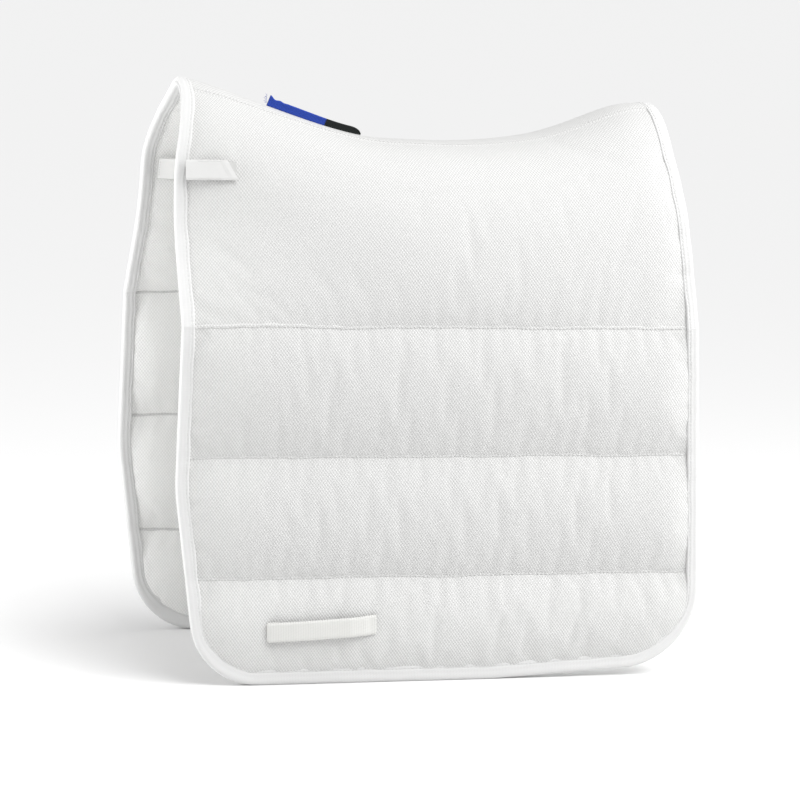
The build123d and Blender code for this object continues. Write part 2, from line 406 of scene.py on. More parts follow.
def add_stitches(piece, points, normals, pitch, length, width):
    """Adds a run of lockstitches along a line: short rounded threads that dip in at both ends."""
    along, ways = lengths(points), unit(np.gradient(points, axis=0))
    end, shoulder = (0.5, -0.55, 0.5), (0.36, 0.25, 0.95)
    steps = np.array([(-0.5, *end[1:]), (-0.36, *shoulder[1:]), (0.0, 0.5, 1.0), shoulder, end])
    turn = np.radians(np.arange(6) * 60)
    for middle in np.arange(pitch, along[-1] - pitch, pitch):
        rings = []
        for step, rise, girth in steps:
            place = middle + step * length
            centre, up, way = (sampled(place, along, values) for values in (points, normals, ways))
            across = unit(np.cross(way, up))
            circle = np.cos(turn)[:, None] * across + np.sin(turn)[:, None] * up * 0.7
            rings.append(centre + up * rise * width + circle * girth * width / 2)
        rings = np.array(rings)
        piece.add_tube(rings, woven(middle + steps[:, :1] * length, np.zeros(len(turn) + 1)), THREAD_SLOT)


# Lockstitches: spacing, length and thread width
SEAM_STITCH = 4.5 * MM, 3.9 * MM, 0.8 * MM
BINDING_STITCH = 4.2 * MM, 3.5 * MM, 0.7 * MM
SPINE_STITCH = 4.2 * MM, 3.5 * MM, 0.6 * MM
BOX_STITCH = 2.4 * MM, 2.0 * MM, 0.55 * MM
RING_STRAP_STITCH = 3.0 * MM, 2.5 * MM, 0.45 * MM
LABEL_STITCH = 2.6 * MM, 2.1 * MM, 0.45 * MM


# ---- materials

def set_values(node, values):
    """Sets a node's own inputs by name."""
    for name, value in values.items():
        node.inputs[name].default_value = value


def wave(tree, coordinate, axis_counts):
    """A cosine over the weave coordinates: axis_counts waves per metre along and across."""
    parts = tree.nodes.new("ShaderNodeVectorMath")
    parts.operation = "DOT_PRODUCT"
    parts.inputs[1].default_value = (axis_counts[0] * 2 * math.pi, axis_counts[1] * 2 * math.pi, 0)
    tree.links.new(coordinate, parts.inputs[0])
    cosine = tree.nodes.new("ShaderNodeMath")
    cosine.operation = "COSINE"
    tree.links.new(parts.outputs["Value"], cosine.inputs[0])
    return cosine.outputs[0]


def sums(tree, operation, first, second):
    """One step of arithmetic on a node's output and another output or a number."""
    node = tree.nodes.new("ShaderNodeMath")
    node.operation = operation
    for socket, value in zip(node.inputs, (first, second)):
        if isinstance(value, (int, float)):
            socket.default_value = value
        else:
            tree.links.new(value, socket)
    return node.outputs[0]


def ramp(tree, value, low, high, dark, light):
    """A colour that goes from dark to light as a value goes from low to high."""
    node = tree.nodes.new("ShaderNodeMapRange")
    set_values(node, {"From Min": low, "From Max": high})
    tree.links.new(value, node.inputs["Value"])
    mix = tree.nodes.new("ShaderNodeMix")
    mix.data_type = "RGBA"
    colours = [socket for socket in mix.inputs if socket.type == "RGBA"]
    colours[0].default_value, colours[1].default_value = (*dark, 1), (*light, 1)
    tree.links.new(node.outputs["Result"], mix.inputs["Factor"])
    return next(socket for socket in mix.outputs if socket.type == "RGBA")


def noise(tree, scale, detail=2.0):
    """Cloudy noise fixed to the object, from 0 to 1."""
    place = tree.nodes.new("ShaderNodeTexCoord")
    node = tree.nodes.new("ShaderNodeTexNoise")
    set_values(node, {"Scale": scale, "Detail": detail})
    tree.links.new(place.outputs["Object"], node.inputs["Vector"])
    return node.outputs["Fac"]


def cloth_material(name, colour, height, contrast, bump, roughness, sheen=0.25, mottle=0.02):
    """A fabric whose weave height, a function of the tree and weave coordinate, gives colour and relief; its
    low parts are coloured darker, the weave's pattern with painted shade in its hollows.
    """
    material = bpy.data.materials.new(name)
    material.use_nodes = True
    tree = material.node_tree
    shader = tree.nodes["Principled BSDF"]
    set_values(shader, {
        "Roughness": roughness, "Sheen Weight": sheen, "Sheen Roughness": 0.5, "Specular IOR Level": 0.2,
    })
    place = tree.nodes.new("ShaderNodeUVMap")
    place.uv_map = "weave"
    raised = height(tree, place.outputs["UV"])
    cloudy = sums(tree, "MULTIPLY", noise(tree, 9.0), mottle)
    fibres = sums(tree, "MULTIPLY", noise(tree, 900.0, 3.0), contrast * 0.6)
    # colour follows the weave height: open cells and rib valleys darker, partly the weave's pattern and
    # partly painted shade in its hollows
    tone = sums(tree, "ADD", sums(tree, "MULTIPLY", raised, contrast), sums(tree, "ADD", cloudy, fibres))
    spread = contrast * 1.6 + mottle
    dark = [max(0.0, c * (1 - spread)) for c in colour]
    tree.links.new(ramp(tree, tone, 0.0, spread, dark, colour), shader.inputs["Base Color"])
    relief = tree.nodes.new("ShaderNodeBump")
    set_values(relief, {"Strength": 0.6, "Distance": bump})
    fuzz = sums(tree, "MULTIPLY", noise(tree, 1400.0, 2.0), 0.25)
    tree.links.new(sums(tree, "ADD", raised, fuzz), relief.inputs["Height"])
    tree.links.new(relief.outputs["Normal"], shader.inputs["Normal"])
    return material


def cell_height(along, up):
    """Spacer mesh: a diagonal lattice of small open cells between raised threads."""
    def height(tree, coordinate):
        first = wave(tree, coordinate, (1 / along, 1 / up))
        second = wave(tree, coordinate, (1 / along, -1 / up))
        both = sums(tree, "ADD", first, second)
        return sums(tree, "ADD", sums(tree, "MULTIPLY", both, -0.25), 0.5)
    return height


def rib_height(pitch, across_pitch):
    """Ribbed or twilled tape: ridges along it, crossed by finer picks."""
    def height(tree, coordinate):
        ribs = wave(tree, coordinate, (1 / pitch, 0))
        picks = wave(tree, coordinate, (0.5 / pitch, 1 / across_pitch))
        both = sums(tree, "ADD", sums(tree, "MULTIPLY", ribs, 0.3), sums(tree, "MULTIPLY", picks, 0.2))
        return sums(tree, "ADD", both, 0.5)
    return height


# LINING is set well above the cover's WHITE: painted light, brightening the linings and label inside the pad
# where little light reaches
WHITE, LINING, EDGE_WHITE = (0.745, 0.745, 0.737), (0.94, 0.94, 0.928), (0.70, 0.70, 0.697)
CREAM, SATIN, GREY = (0.70, 0.70, 0.678), (0.68, 0.68, 0.673), (0.62, 0.62, 0.61)
BLUE, BLACK = (0.030, 0.085, 0.54), (0.014, 0.018, 0.017)
SATIN_RIB = 0.9 * MM
TAB_RIB, TAB_PICK = 1.4 * MM, 1.1 * MM


def spacer_mesh(name):
    """The covers' white spacer mesh."""
    return cloth_material(name, WHITE, cell_height(CELL_ALONG, CELL_UP), 0.21, 0.7 * MM, 0.85)


def lining_mesh(name):
    """The linings' flatter mesh, in a white raised above the cover's to paint in light that falls short
    inside the pad.
    """
    return cloth_material(name, LINING, cell_height(CELL_ALONG, CELL_UP), 0.17, 0.5 * MM, 0.9)


def binding_tape(name):
    """The fine ribbed tape round the edge."""
    return cloth_material(name, EDGE_WHITE, rib_height(1.6 * MM, 1.2 * MM), 0.04, 0.15 * MM, 0.7)


def webbing(name):
    """The girth keepers' coarse ribbed webbing."""
    return cloth_material(name, CREAM, rib_height(2.5 * MM, 1.4 * MM), 0.08, 0.3 * MM, 0.75)


def satin_tape(name):
    """The D-ring straps' smooth tape."""
    return cloth_material(name, SATIN, rib_height(SATIN_RIB, SATIN_RIB), 0.03, 0.05 * MM, 0.45)


def label_satin(name):
    """The label's satin, brighter than the straps' because it takes the linings' raised white, which paints
    in light inside the pad.
    """
    return cloth_material(name, LINING, rib_height(SATIN_RIB, SATIN_RIB), 0.03, 0.05 * MM, 0.45)


def touch_fastener(name):
    """The rough hooks and loops under the D-ring straps."""
    return cloth_material(name, GREY, rib_height(1.5 * MM, 1.5 * MM), 0.2, 0.5 * MM, 0.9)


def blue_tape(name):
    """The tab's blue half."""
    return cloth_material(name, BLUE, rib_height(TAB_RIB, TAB_PICK), 0.35, 0.3 * MM, 0.6, 0.1)


def black_tape(name):
    """The tab's black half."""
    return cloth_material(name, BLACK, rib_height(TAB_RIB, TAB_PICK), 0.4, 0.3 * MM, 0.6, 0.1)


def thread(name):
    """The stitches' sewing thread."""
    return cloth_material(name, SATIN, rib_height(0.6 * MM, 0.6 * MM), 0.08, 0.05 * MM, 0.6)


MATERIALS = {make.__name__: make(make.__name__) for make in (
    spacer_mesh, lining_mesh, binding_tape, webbing, satin_tape, label_satin, touch_fastener, blue_tape,
    black_tape, thread,
)}


# ---- filled channels and the top panel

def rise(distance, reach, power=2.1):
    """How full a filled channel is at a distance from where it is stitched down, from 0 to 1."""
    t = np.clip(distance / reach, 0, 1)
    return (1 - (1 - t) ** power) ** 0.8


def seam_z(x, seam):
    """Height of a stitched seam at x: nearly straight, and the first one droops at the front."""
    drift = ripple(x, 0.16, seam) * 0.8 * MM + ripple(x, 0.045, seam + 3) * 0.35 * MM
    droop = SEAM_DROOP * np.exp(-(((x - front_x(SEAMS[seam])) / DROOP_LENGTH) ** 2)) if seam == 0 else 0
    return SEAMS[seam] + (drift - droop)


def warped(count, share=0.5):
    """Shares from 0 to 1, closer together towards both ends."""
    t = np.linspace(0, 1, count)
    return t * (1 - share) + (1 - np.cos(math.pi * t)) / 2 * share


def channel_plan(level, rows, columns):
    """A channel's grid of (x, z), from its upper seam down and from front to rear."""
    top = SEAMS[level]
    edge = outline(TUCK)
    down, up = warped(rows), warped(columns, 0.3)
    xs = np.linspace(front_x(top, TUCK), rear_x(top, TUCK), 200)
    upper = line_between(np.stack([xs, seam_z(xs, level)], axis=1), up)
    if level < 2:
        low = SEAMS[level + 1]
        xs = np.linspace(front_x(low, TUCK), rear_x(low, TUCK), 200)
        lower = line_between(np.stack([xs, seam_z(xs, level + 1)], axis=1), up)
        z_front = upper[0, 1] + (lower[0, 1] - upper[0, 1]) * down
        z_rear = upper[-1, 1] + (lower[-1, 1] - upper[-1, 1]) * down
        front = np.stack([front_x(z_front, TUCK), z_front], axis=1)
        rear = np.stack([rear_x(z_rear, TUCK), z_rear], axis=1)
    else:
        flank = edge[edge[:, 1] < top]
        facing = unit(np.gradient(flank, axis=0))
        front_corner = int(np.argmax(facing[:, 0] > -facing[:, 1]))
        rear_corner = len(flank) - 1 - int(np.argmax(facing[::-1, 0] > facing[::-1, 1]))
        front = line_between(np.vstack([upper[:1], flank[: front_corner + 1]]), down)
        rear = line_between(np.vstack([upper[-1:], flank[rear_corner:][::-1]]), down)
        lower = line_between(flank[front_corner : rear_corner + 1], up)
    s, t = up[None, :, None], down[:, None, None]
    sides = front[:, None] * (1 - s) + rear[:, None] * s
    ends = upper[None] * (1 - t) + lower[None] * t
    corners = (upper[0] * (1 - t) + lower[0] * t) * (1 - s) + (upper[-1] * (1 - t) + lower[-1] * t) * s
    return sides + ends - corners


def from_outline(plan):
    """Distance of each (x, z) from the pad's outline."""
    flat = plan.reshape(-1, 2)
    gaps = [np.sqrt(((point - EDGE) ** 2).sum(axis=1).min()) for point in flat]
    return np.array(gaps).reshape(plan.shape[:-1])


def hem_share(z):
    """0 up the flap's sides and 1 along its bottom, where the binding is wider."""
    return smooth_step(-z, -BOTTOM - 60 * MM, -BOTTOM - 10 * MM)


def edge_share(distance, full):
    """How much of its full thickness the filling keeps near the binding."""
    least = TUCK_HALF / full
    return least + (1 - least) * rise(distance - TUCK, EDGE_TAPER, 2.0)


def pucker(x, distance, seed):
    """Small folds that a seam pulls into the fabric beside it."""
    fade = np.exp(-distance / PUCKER_REACH)
    return PUCKER * ripple(x, PUCKER_LENGTH, seed) * fade * smooth_step(distance, 0, 4 * MM)


def channel_half(plan, level):
    """Half thickness of a channel at each (x, z) of its plan."""
    x, z = plan[..., 0], plan[..., 1]
    above = np.maximum(seam_z(x, level) - z, 0)
    if level < 2:
        below = np.maximum(z - seam_z(x, level + 1), 0)
        reach = (SEAMS[level] - SEAMS[level + 1]) / 2
        folds = pucker(x, above, level) + pucker(x, below, level + 5)
    else:
        below = np.full_like(above, 1.0)
        reach = (SEAMS[2] - BOTTOM) / 2
        folds = pucker(x, above, level)
    fullness = rise(np.minimum(above, below), reach)
    distance = from_outline(plan) - HEM_EXTRA * hem_share(z)
    return SEAM_HALF + (FULL_HALF - SEAM_HALF) * fullness * edge_share(distance, FULL_HALF) + folds


def inflated(points, normals, half):
    """Half thickness after cloth pinned round its edge has been blown up by pressure from inside."""
    rows, columns = half.shape
    start = points + normals * (half * 0.6)[..., None]
    mesh = bpy.data.meshes.new("inflating")
    numbers = np.arange(rows * columns).reshape(rows, columns)
    quads = np.stack([numbers[:-1, :-1], numbers[:-1, 1:], numbers[1:, 1:], numbers[1:, :-1]], axis=2)
    mesh.from_pydata(start.reshape(-1, 3).tolist(), [], quads.reshape(-1, 4).tolist())
    cloth = placed("inflating", mesh)
    border = np.ones((rows, columns), bool)
    border[1:-1, 1:-1] = False
    cloth.vertex_groups.new(name="sewn").add(numbers[border].tolist(), 1.0, "REPLACE")
    settings = cloth.modifiers.new("Cloth", "CLOTH").settings
    settings.quality = 6
    settings.mass = 0.15
    settings.tension_stiffness = settings.compression_stiffness = 20
    settings.bending_stiffness = 0.5
    settings.vertex_group_mass = "sewn"
    settings.use_pressure = True
    settings.uniform_pressure_force = PRESSURE
    settings.shrink_min = -GROWTH
    settings.effector_weights.gravity = 0
    facing = mesh.polygons[len(mesh.polygons) // 2].normal
    if facing.dot(Vector(normals[rows // 2, columns // 2])) < 0:
        mesh.flip_normals()
    scene = bpy.context.scene
    for step in range(1, CLOTH_FRAMES + 1):
        scene.frame_set(step)
    shape = cloth.evaluated_get(bpy.context.evaluated_depsgraph_get()).to_mesh()
    ended = np.empty(rows * columns * 3)
    shape.vertices.foreach_get("co", ended)
    scene.frame_set(1)
    bpy.data.objects.remove(cloth)
    moved = ended.reshape(rows, columns, 3) - points
    return (moved * normals).sum(axis=2)


def filled(half, coarse):
    """Half thickness, with part of the shape from the cloth simulation on a coarser grid."""
    coarse_half = coarse[2]
    blown = inflated(*coarse)
    full = np.percentile(coarse_half, 90)
    blown = blown * full / max(np.percentile(blown, 90), 0.5 * full)
    change = np.clip(blown - coarse_half, MOST_DOWN, MOST_UP)
    return np.maximum(half + CLOTH_SHARE * stretched(change, *half.shape), SEAM_HALF)


def add_layer(piece, points, normals, half, weave):
    """Adds a skin that lies on one side of the filling."""
    under = np.maximum(half - SKIN, 0.15 * half)
    add_shell(piece, points + normals * half[..., None], points + normals * under[..., None], weave)


def make_layers(name, kind, body, points, normals, half, weave):
    """Cover and lining of one filled part on each side, in place of the frame's cover, filling and lining."""
    back = points[:, ::-1], -normals[:, ::-1], half[:, ::-1] * LINING_SHARE, weave[:, ::-1]
    for side, sign in SIDES:
        for layer, grids, slot, nodes in (
            ("cover", (points, normals, half, weave), "spacer_mesh", ("cover", "foam")),
            ("lining", back, "lining_mesh", ("lining",)),
        ):
            piece = Piece()
            add_layer(piece, *grids)
            nodes = [f"{side}_{name}_{node}" for node in nodes]
            piece = piece.finished(f"{side}_{name}_{kind}_{layer}", slot, sign, *nodes)
            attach(piece, body.format(side))


def make_channels():
    """The three filled channels of each flap."""
    levels = SEAMS + [BOTTOM]
    for level, name in enumerate(CHANNELS):
        tall = levels[level] - levels[level + 1]
        wide = rear_x(SEAMS[level]) - front_x(SEAMS[level])
        sheets = []
        for step in (FINE, COARSE):
            plan = channel_plan(level, round(tall / step) + 1, round(wide / step) + 1)
            points = np.stack([plan[..., 0], np.full(plan.shape[:2], HALF_WIDTH), plan[..., 1]], axis=-1)
            sheets.append((points, np.zeros_like(points) + (0, 1, 0), channel_half(plan, level)))
        points, normals, half = sheets[0]
        half = filled(half, sheets[1])
        plan = points[..., ::2]
        if level == 2:
            half = half - strap_dent(plan)
        make_layers(name, "channel", BODIES[level + 1], points, normals, half, plan)


def panel_grid(step):
    """The top panel's middle surface, outward directions, half thickness and weave at one spacing."""
    rows, columns = round(PANEL_DOWN / step) + 1, round(PANEL_ALONG / step) + 1
    down, along = warped(rows, 0.35), warped(columns, 0.3)
    points = panel_points(down[:, None], along[None, :], TUCK)
    points[-1, :, 2] = seam_z(points[-1, :, 0], 0)
    points[-4:, :, 2] = np.linspace(points[-4, :, 2], points[-1, :, 2], 4)
    normals = grid_normals(points)
    normals[0] = unit(normals[0] * (1, 0, 1))
    normals[-1] = (0, 1, 0)
    from_seam = np.linalg.norm(np.diff(points, axis=0, prepend=points[:1]), axis=2)[::-1].cumsum(axis=0)[::-1]
    from_seam = np.vstack([from_seam[1:], np.zeros((1, columns))])
    x, z = points[..., 0], points[..., 2]
    edge = np.minimum(x - front_x(z), rear_x(z) - x)
    full = SPINE_HALF + (PANEL_HALF - SPINE_HALF) * smooth_step(down[:, None], 0.05, 0.6)
    half = SEAM_HALF + (full - SEAM_HALF) * rise(from_seam, PANEL_REACH) * edge_share(edge, full)
    half += pucker(x, from_seam, 0) - creases(x, z)
    return points, normals, half, np.stack([x, SEAMS[0] + from_seam], axis=-1)


# Creases of the top panel, in metres: a long level one, and a short one from (x, z) to (x, z) near the rear
LONG_CREASE_Z, LONG_CREASE_SLOPE, LONG_CREASE_BEND_X = -0.0455, 0.06, -0.15
LONG_CREASE_DEPTH, LONG_CREASE_WIDTH = 0.45 * MM, 0.0045
SHORT_CREASE = (0.118, 0.012), (0.195, -0.006)
SHORT_CREASE_DEPTH, SHORT_CREASE_WIDTH = 0.9 * MM, 0.005


def creases(x, z):
    """Depth of the soft creases that the panel's bend leaves in it."""
    level = z - (LONG_CREASE_Z + LONG_CREASE_SLOPE * np.clip(x - LONG_CREASE_BEND_X, 0, 0.2))
    along = smooth_step(x, -0.235, -0.19) * (1 - smooth_step(x, 0.06, 0.14))
    depth = LONG_CREASE_DEPTH * np.exp(-((level / LONG_CREASE_WIDTH) ** 2)) * along
    start, end = (np.array(place) for place in SHORT_CREASE)
    way = unit(end - start)
    offset = np.stack([x, z], axis=-1) - start
    run, miss = offset @ way, offset @ np.array((-way[1], way[0]))
    reach = np.linalg.norm(end - start)
    fade = smooth_step(run, -0.01, 0.02) * (1 - smooth_step(run, reach - 0.02, reach + 0.01))
    return depth + SHORT_CREASE_DEPTH * np.exp(-((miss / SHORT_CREASE_WIDTH) ** 2)) * fade


def make_top_panel():
    """The curved panel over the back, left and right."""
    points, normals, half, weave = panel_grid(FINE)
    half = filled(half, panel_grid(COARSE)[:3])
    make_layers("top", "panel", BODIES[0], points, normals, half, weave)
    return points, normals, half


# ---- seams between channels

def bend_at(piece, sign, seam, reach):
    """Bakes a piece's transform into its mesh, without bending it; the seam point and reach it works out go
    unused.
    """
    middle, reach = Vector((0, sign * HALF_WIDTH, SEAMS[seam])), Vector((0, 0, reach))
    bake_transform(piece)


def make_seam_gutters():
    """The stitched strip at the bottom of each groove between channels, on each side."""
    tall, deep = 3.2 * MM, 1.0 * MM
    for seam, height in enumerate(SEAMS):
        x = np.arange(front_x(height, TUCK), rear_x(height, TUCK), PATH_STEP)
        line = np.stack([x, np.full_like(x, HALF_WIDTH), seam_z(x, seam)], axis=1)
        profile = [(-tall, 0), (-tall * 0.4, deep * 0.9), (0, deep), (tall * 0.4, deep * 0.9)]
        profile += [(-z, -y) for z, y in profile]
        rings = line[:, None] + np.array([(0, y, z) for z, y in profile])[None]
        weave = woven(x[:, None], np.arange(len(profile) + 1) * 1.5 * MM)
        for side, sign in SIDES:
            strip = Piece()
            strip.add_tube(rings[:, ::-1], weave)
            for face in (1, -1):
                up = np.zeros_like(line) + (0, face, 0)
                add_stitches(strip, line + up * deep, up, *SEAM_STITCH)
            strip = strip.finished(f"{side}_{CHANNELS[seam]}_seam_stitching", "spacer_mesh", sign)
            bend_at(strip, sign, seam, 3 * MM)


# ---- bindings

def binding_profile():
    """The folded tape's section, all round: (distance in from the edge, distance from the middle)."""
    outer = [(2.2, 0.0), (0.7, 0.55), (0.0, 1.7), (0.2, 2.9), (1.2, 3.9), (3.0, 4.4), (5.0, 4.2), (6.2, 4.0)]
    outer += [(7.6, 4.4), (8.8, 4.3), (9.5, 3.85), (10.2, 4.2), (11.4, 4.3)]
    outer += [(12.3, 3.7), (12.6, 0.9), (8.5, 0.7)]
    inner = [(d, -n) for d, n in outer[:0:-1]]
    return np.array(outer + inner) * MM


def edge_path():
    """Frames along the right edge, from the spine at the front round the bottom to the spine at the rear."""
    share = np.linspace(0, 1, 80)
    arches = []
    for across in (0.0, 1.0):
        points = panel_points(share, np.full_like(share, across), 0.0)
        step = 0.004 * (1 if across == 0 else -1)
        y, z = (looked_up(table, share, points[:, 0] + step) for table in (SECTION_Y, SECTION_Z))
        inner = np.stack([points[:, 0] + step, y, z], axis=1)
        down = np.gradient(points, axis=0)
        normals = unit(np.cross((inner - points) * (1 if across == 0 else -1), down))
        arches.append((points, normals))
    flap = EDGE[(EDGE[:, 1] < SEAMS[0] - 1.5 * MM)]
    flap = np.stack([flap[:, 0], np.full(len(flap), HALF_WIDTH), flap[:, 1]], axis=1)
    points = np.vstack([arches[0][0], flap, arches[1][0][::-1]])
    normals = np.vstack([arches[0][1], np.zeros_like(flap) + (0, 1, 0), arches[1][1][::-1]])
    frames = evenly(np.hstack([points, normals]), PATH_STEP)
    points, normals = frames[:, :3], frames[:, 3:]
    for _ in range(3):
        soften(points)
        soften(normals)
    ways = unit(np.gradient(points, axis=0))
    for end in (0, -1):
        points[end, 1] = 0
        ways[end] = (0, 1 if end == 0 else -1, 0)
        normals[end, 1] = 0
    normals = unit(normals - ways * (normals * ways).sum(axis=1, keepdims=True))
    return points, ways, normals


def make_bindings():
    """The edge tape in lengths cut between the seams, with its two rows of stitches."""
    points, ways, normals = edge_path()
    inward = unit(np.cross(ways, normals))
    profile = binding_profile()
    lowest = int(np.argmin(points[:, 2]))
    middles = [(a + b) / 2 for a, b in zip(SEAMS, SEAMS[1:])]
    cuts = [int(np.argmax(points[:, 2] < z)) for z in middles]
    cuts += [len(points) - 1 - int(np.argmax(points[::-1, 2] < z)) for z in middles[::-1]]
    assert cuts[1] < lowest < cuts[2]
    stretches = [
        ("front_arch_edge", 0, cuts[0], 0, ["front_arch_binding", "{}_upper_front_binding"]),
        ("front_flap_edge", cuts[0], cuts[1], 1, ["{}_middle_front_binding"]),
        ("lower_edge", cuts[1], cuts[2], 2, ["{}_lower_binding"]),
        ("rear_flap_edge", cuts[2], cuts[3], 1, ["{}_middle_rear_binding"]),
        ("rear_arch_edge", cuts[3], len(points) - 1, 0, ["rear_arch_binding", "{}_upper_rear_binding"]),
    ]
    length = lengths(points)
    dips = sum(np.exp(-(((points[:, 2] - z) / 0.007) ** 2)) for z in SEAMS)
    thick = 1 - 0.14 * dips + 0.03 * ripple(length, 0.035, 2)
    wide = 1 + 0.04 * ripple(length, 0.05, 5) + HEM_EXTRA / BINDING_WIDTH * hem_share(points[:, 2])
    around = lengths(profile)
    around = np.append(around, around[-1] + 1 * MM)
    for name, first, last, seam, nodes in stretches:
        part = slice(first, last + 1)
        p, i, n = points[part], inward[part], normals[part]
        d = profile[None, :, 0, None] * wide[part, None, None]
        o = profile[None, :, 1, None] * thick[part, None, None]
        rings = p[:, None] + i[:, None] * d + n[:, None] * o
        weave = woven(length[part, None], around[None])
        for side, sign in SIDES:
            tape = Piece()
            tape.add_tube(rings, weave)
            for face in (1, -1):
                run = p + i * (9.5 * MM * wide[part, None]) + n * (face * 3.9 * MM * thick[part, None])
                add_stitches(tape, run, n * face, *BINDING_STITCH)
            replaced = [node.format(side) for node in nodes]
            tape = tape.finished(f"{side}_{name}", "binding_tape", sign, *replaced)
            bend_at(tape, sign, seam, 11 * MM)


# ---- straps and trim

def strap_frame(origin, along, out):
    """Three directions of a flat strap: along it, up it and out of its face."""
    along = unit(np.array(along, float))
    out = np.array(out, float)
    out = unit(out - along * (out @ along))
    return np.array(origin, float), along, unit(np.cross(out, along)), out


GIRTH_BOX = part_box("right_girth_strap")
GIRTH_TILT = math.radians(3)
GIRTH_SEWN = 12 * MM
GIRTH_RISE = 12 * MM
GIRTH_HEIGHT = 20 * MM
GIRTH_THICK = 1.8 * MM
BOX_STITCH_LEVEL = 1.4 * MM
GIRTH_LENGTH = (GIRTH_BOX[1].x - GIRTH_BOX[0].x - GIRTH_HEIGHT * math.sin(GIRTH_TILT)) / math.cos(GIRTH_TILT)
GIRTH_LIFT = GIRTH_BOX[1].y - GIRTH_BOX[0].y - 2 * MM
GIRTH_PLACE = [(a + b) / 2 for a, b in zip(*GIRTH_BOX)]
GIRTH_PLACE[1] = GIRTH_BOX[0].y


def strap_dent(plan):
    """How far the girth strap's two sewn ends press the cover in."""
    dent = 0
    for end in (-1, 1):
        reach = end * (GIRTH_LENGTH / 2 - GIRTH_SEWN / 2)
        x, z = GIRTH_PLACE[0] + reach * math.cos(GIRTH_TILT), GIRTH_PLACE[2] + reach * math.sin(GIRTH_TILT)
        gap = ((plan[..., 0] - x) / 0.009) ** 2 + ((plan[..., 1] - z) / 0.013) ** 2
        dent = dent + 0.9 * MM * np.exp(-gap)
    return dent


def add_strap(piece, frame_of, middle_line, height, thick, rib_pitch, rib_depth, slant=0.0):
    """Adds a flat webbing strap: middle_line gives (along, lift) points of its underside, ribs run up it.

    With a slant, its lower edge ends that much sooner than its upper edge.
    """
    origin, along, up, out = frame_of
    line = evenly(np.array(middle_line), rib_pitch / 4)
    slanting = smooth_step(line[:, 0], line[-1, 0] - 4 * slant, line[-1, 0]) if slant else np.zeros(len(line))
    length = lengths(line)
    ways = unit(np.gradient(line, axis=0))
    lift = np.stack([-ways[:, 1], ways[:, 0]], axis=1)
    ribs = rib_depth * np.cos(2 * math.pi * length / rib_pitch)
    levels = np.linspace(-1, 1, 14)
    rings = []
    for face, order in ((1, levels), (-1, levels[::-1])):
        rounding = np.sqrt(np.maximum(0, 1 - np.abs(order) ** 14))
        away = thick / 2 + face * (thick / 2 * rounding[None] + ribs[:, None] * 0.5)
        place = line[:, None] + lift[:, None] * away[..., None]
        place[..., 0] -= slant * slanting[:, None] * (1 - order[None]) / 2
        rings.append(
            origin + place[..., :1] * along + place[..., 1:] * out + (order * height / 2)[None, :, None] * up
        )
    rings = np.concatenate(rings, axis=1)
    around = np.linspace(0, 2 * height, rings.shape[1] + 1)
    weave = woven(length[:, None], around[None])
    piece.add_tube(rings[:, ::-1], weave)


def make_girth_straps():
    """The ribbed webbing keeper on each lower channel, its ends folded under and stitched down."""
    half, flat = GIRTH_LENGTH / 2, GIRTH_LENGTH / 2 - GIRTH_SEWN
    lifted = flat - GIRTH_RISE
    turn = (math.cos(GIRTH_TILT), 0, math.sin(GIRTH_TILT))
    place = strap_frame(GIRTH_PLACE, turn, (0, 1, 0))
    origin, along, up, out = place
    line = [(-half + 0.8 * MM, 0.4 * MM), (-half + 0.1 * MM, 1.2 * MM), (-half + 0.6 * MM, 2.4 * MM)]
    line += [(-half + 3 * MM, 3.4 * MM), (-flat + 4 * MM, GIRTH_LIFT * 0.8), (-lifted + 4 * MM, GIRTH_LIFT)]
    line += [(0, GIRTH_LIFT + 0.4 * MM), (lifted - 4 * MM, GIRTH_LIFT), (flat - 1 * MM, GIRTH_LIFT * 0.6)]
    line += [(half - 7 * MM, 2.2 * MM), (half - 0.3 * MM, 1.4 * MM)]
    for side, sign in SIDES:
        strap = Piece()
        add_strap(strap, place, line, GIRTH_HEIGHT, GIRTH_THICK, 2.5 * MM, 0.35 * MM)
        for end in (-1, 1):
            fold = [(end * (half - 0.3 * MM), -0.6 * MM), (end * (flat + 1 * MM), -0.6 * MM)]
            fold = fold if end < 0 else fold[::-1]
            add_strap(strap, place, fold, GIRTH_HEIGHT - 0.6 * MM, GIRTH_THICK * 0.9, 2.5 * MM, 0.2 * MM)
            corners = [(-4.4, -7.6), (4.4, -7.6), (4.4, 7.6), (-4.4, 7.6), (-4.4, -7.6), (4.4, 7.6)]
            centre = origin + along * end * (half - GIRTH_SEWN / 2) + out * (BOX_STITCH_LEVEL + GIRTH_THICK)
            for (a, b), (c, d) in zip(corners, corners[1:]):
                ends = np.array([(a, b), (c, d)]) * MM
                run = evenly(centre + ends[:, :1] * along + ends[:, 1:] * up, 1 * MM)
                add_stitches(strap, run, np.zeros_like(run) + out, *BOX_STITCH)
        strap = strap.finished(f"{side}_girth_keeper", "webbing", sign, f"{side}_girth_strap")
        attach(strap, f"{side}_lower_channel")


D_STRAP_LEAN, D_STRAP_TOE = math.radians(12.5), math.radians(3.6)
D_STRAP_LENGTH, D_STRAP_HEIGHT, D_STRAP_THICK = 45 * MM, 20 * MM, 1.4 * MM
D_STRAP_START = 1.2 * MM


def d_strap_frame():
    """Place and directions of the right D-ring strap."""
    place = HINGES["right_d_ring_strap_open"]
    toe = np.array((math.cos(D_STRAP_TOE), math.sin(D_STRAP_TOE), 0))
    face = np.array((-math.sin(D_STRAP_TOE), math.cos(D_STRAP_TOE), 0))
    lean = np.array([
        (1, 0, 0),
        (0, math.cos(D_STRAP_LEAN), -math.sin(D_STRAP_LEAN)),
        (0, math.sin(D_STRAP_LEAN), math.cos(D_STRAP_LEAN)),
    ])
    return strap_frame(place, lean @ toe, lean @ face)


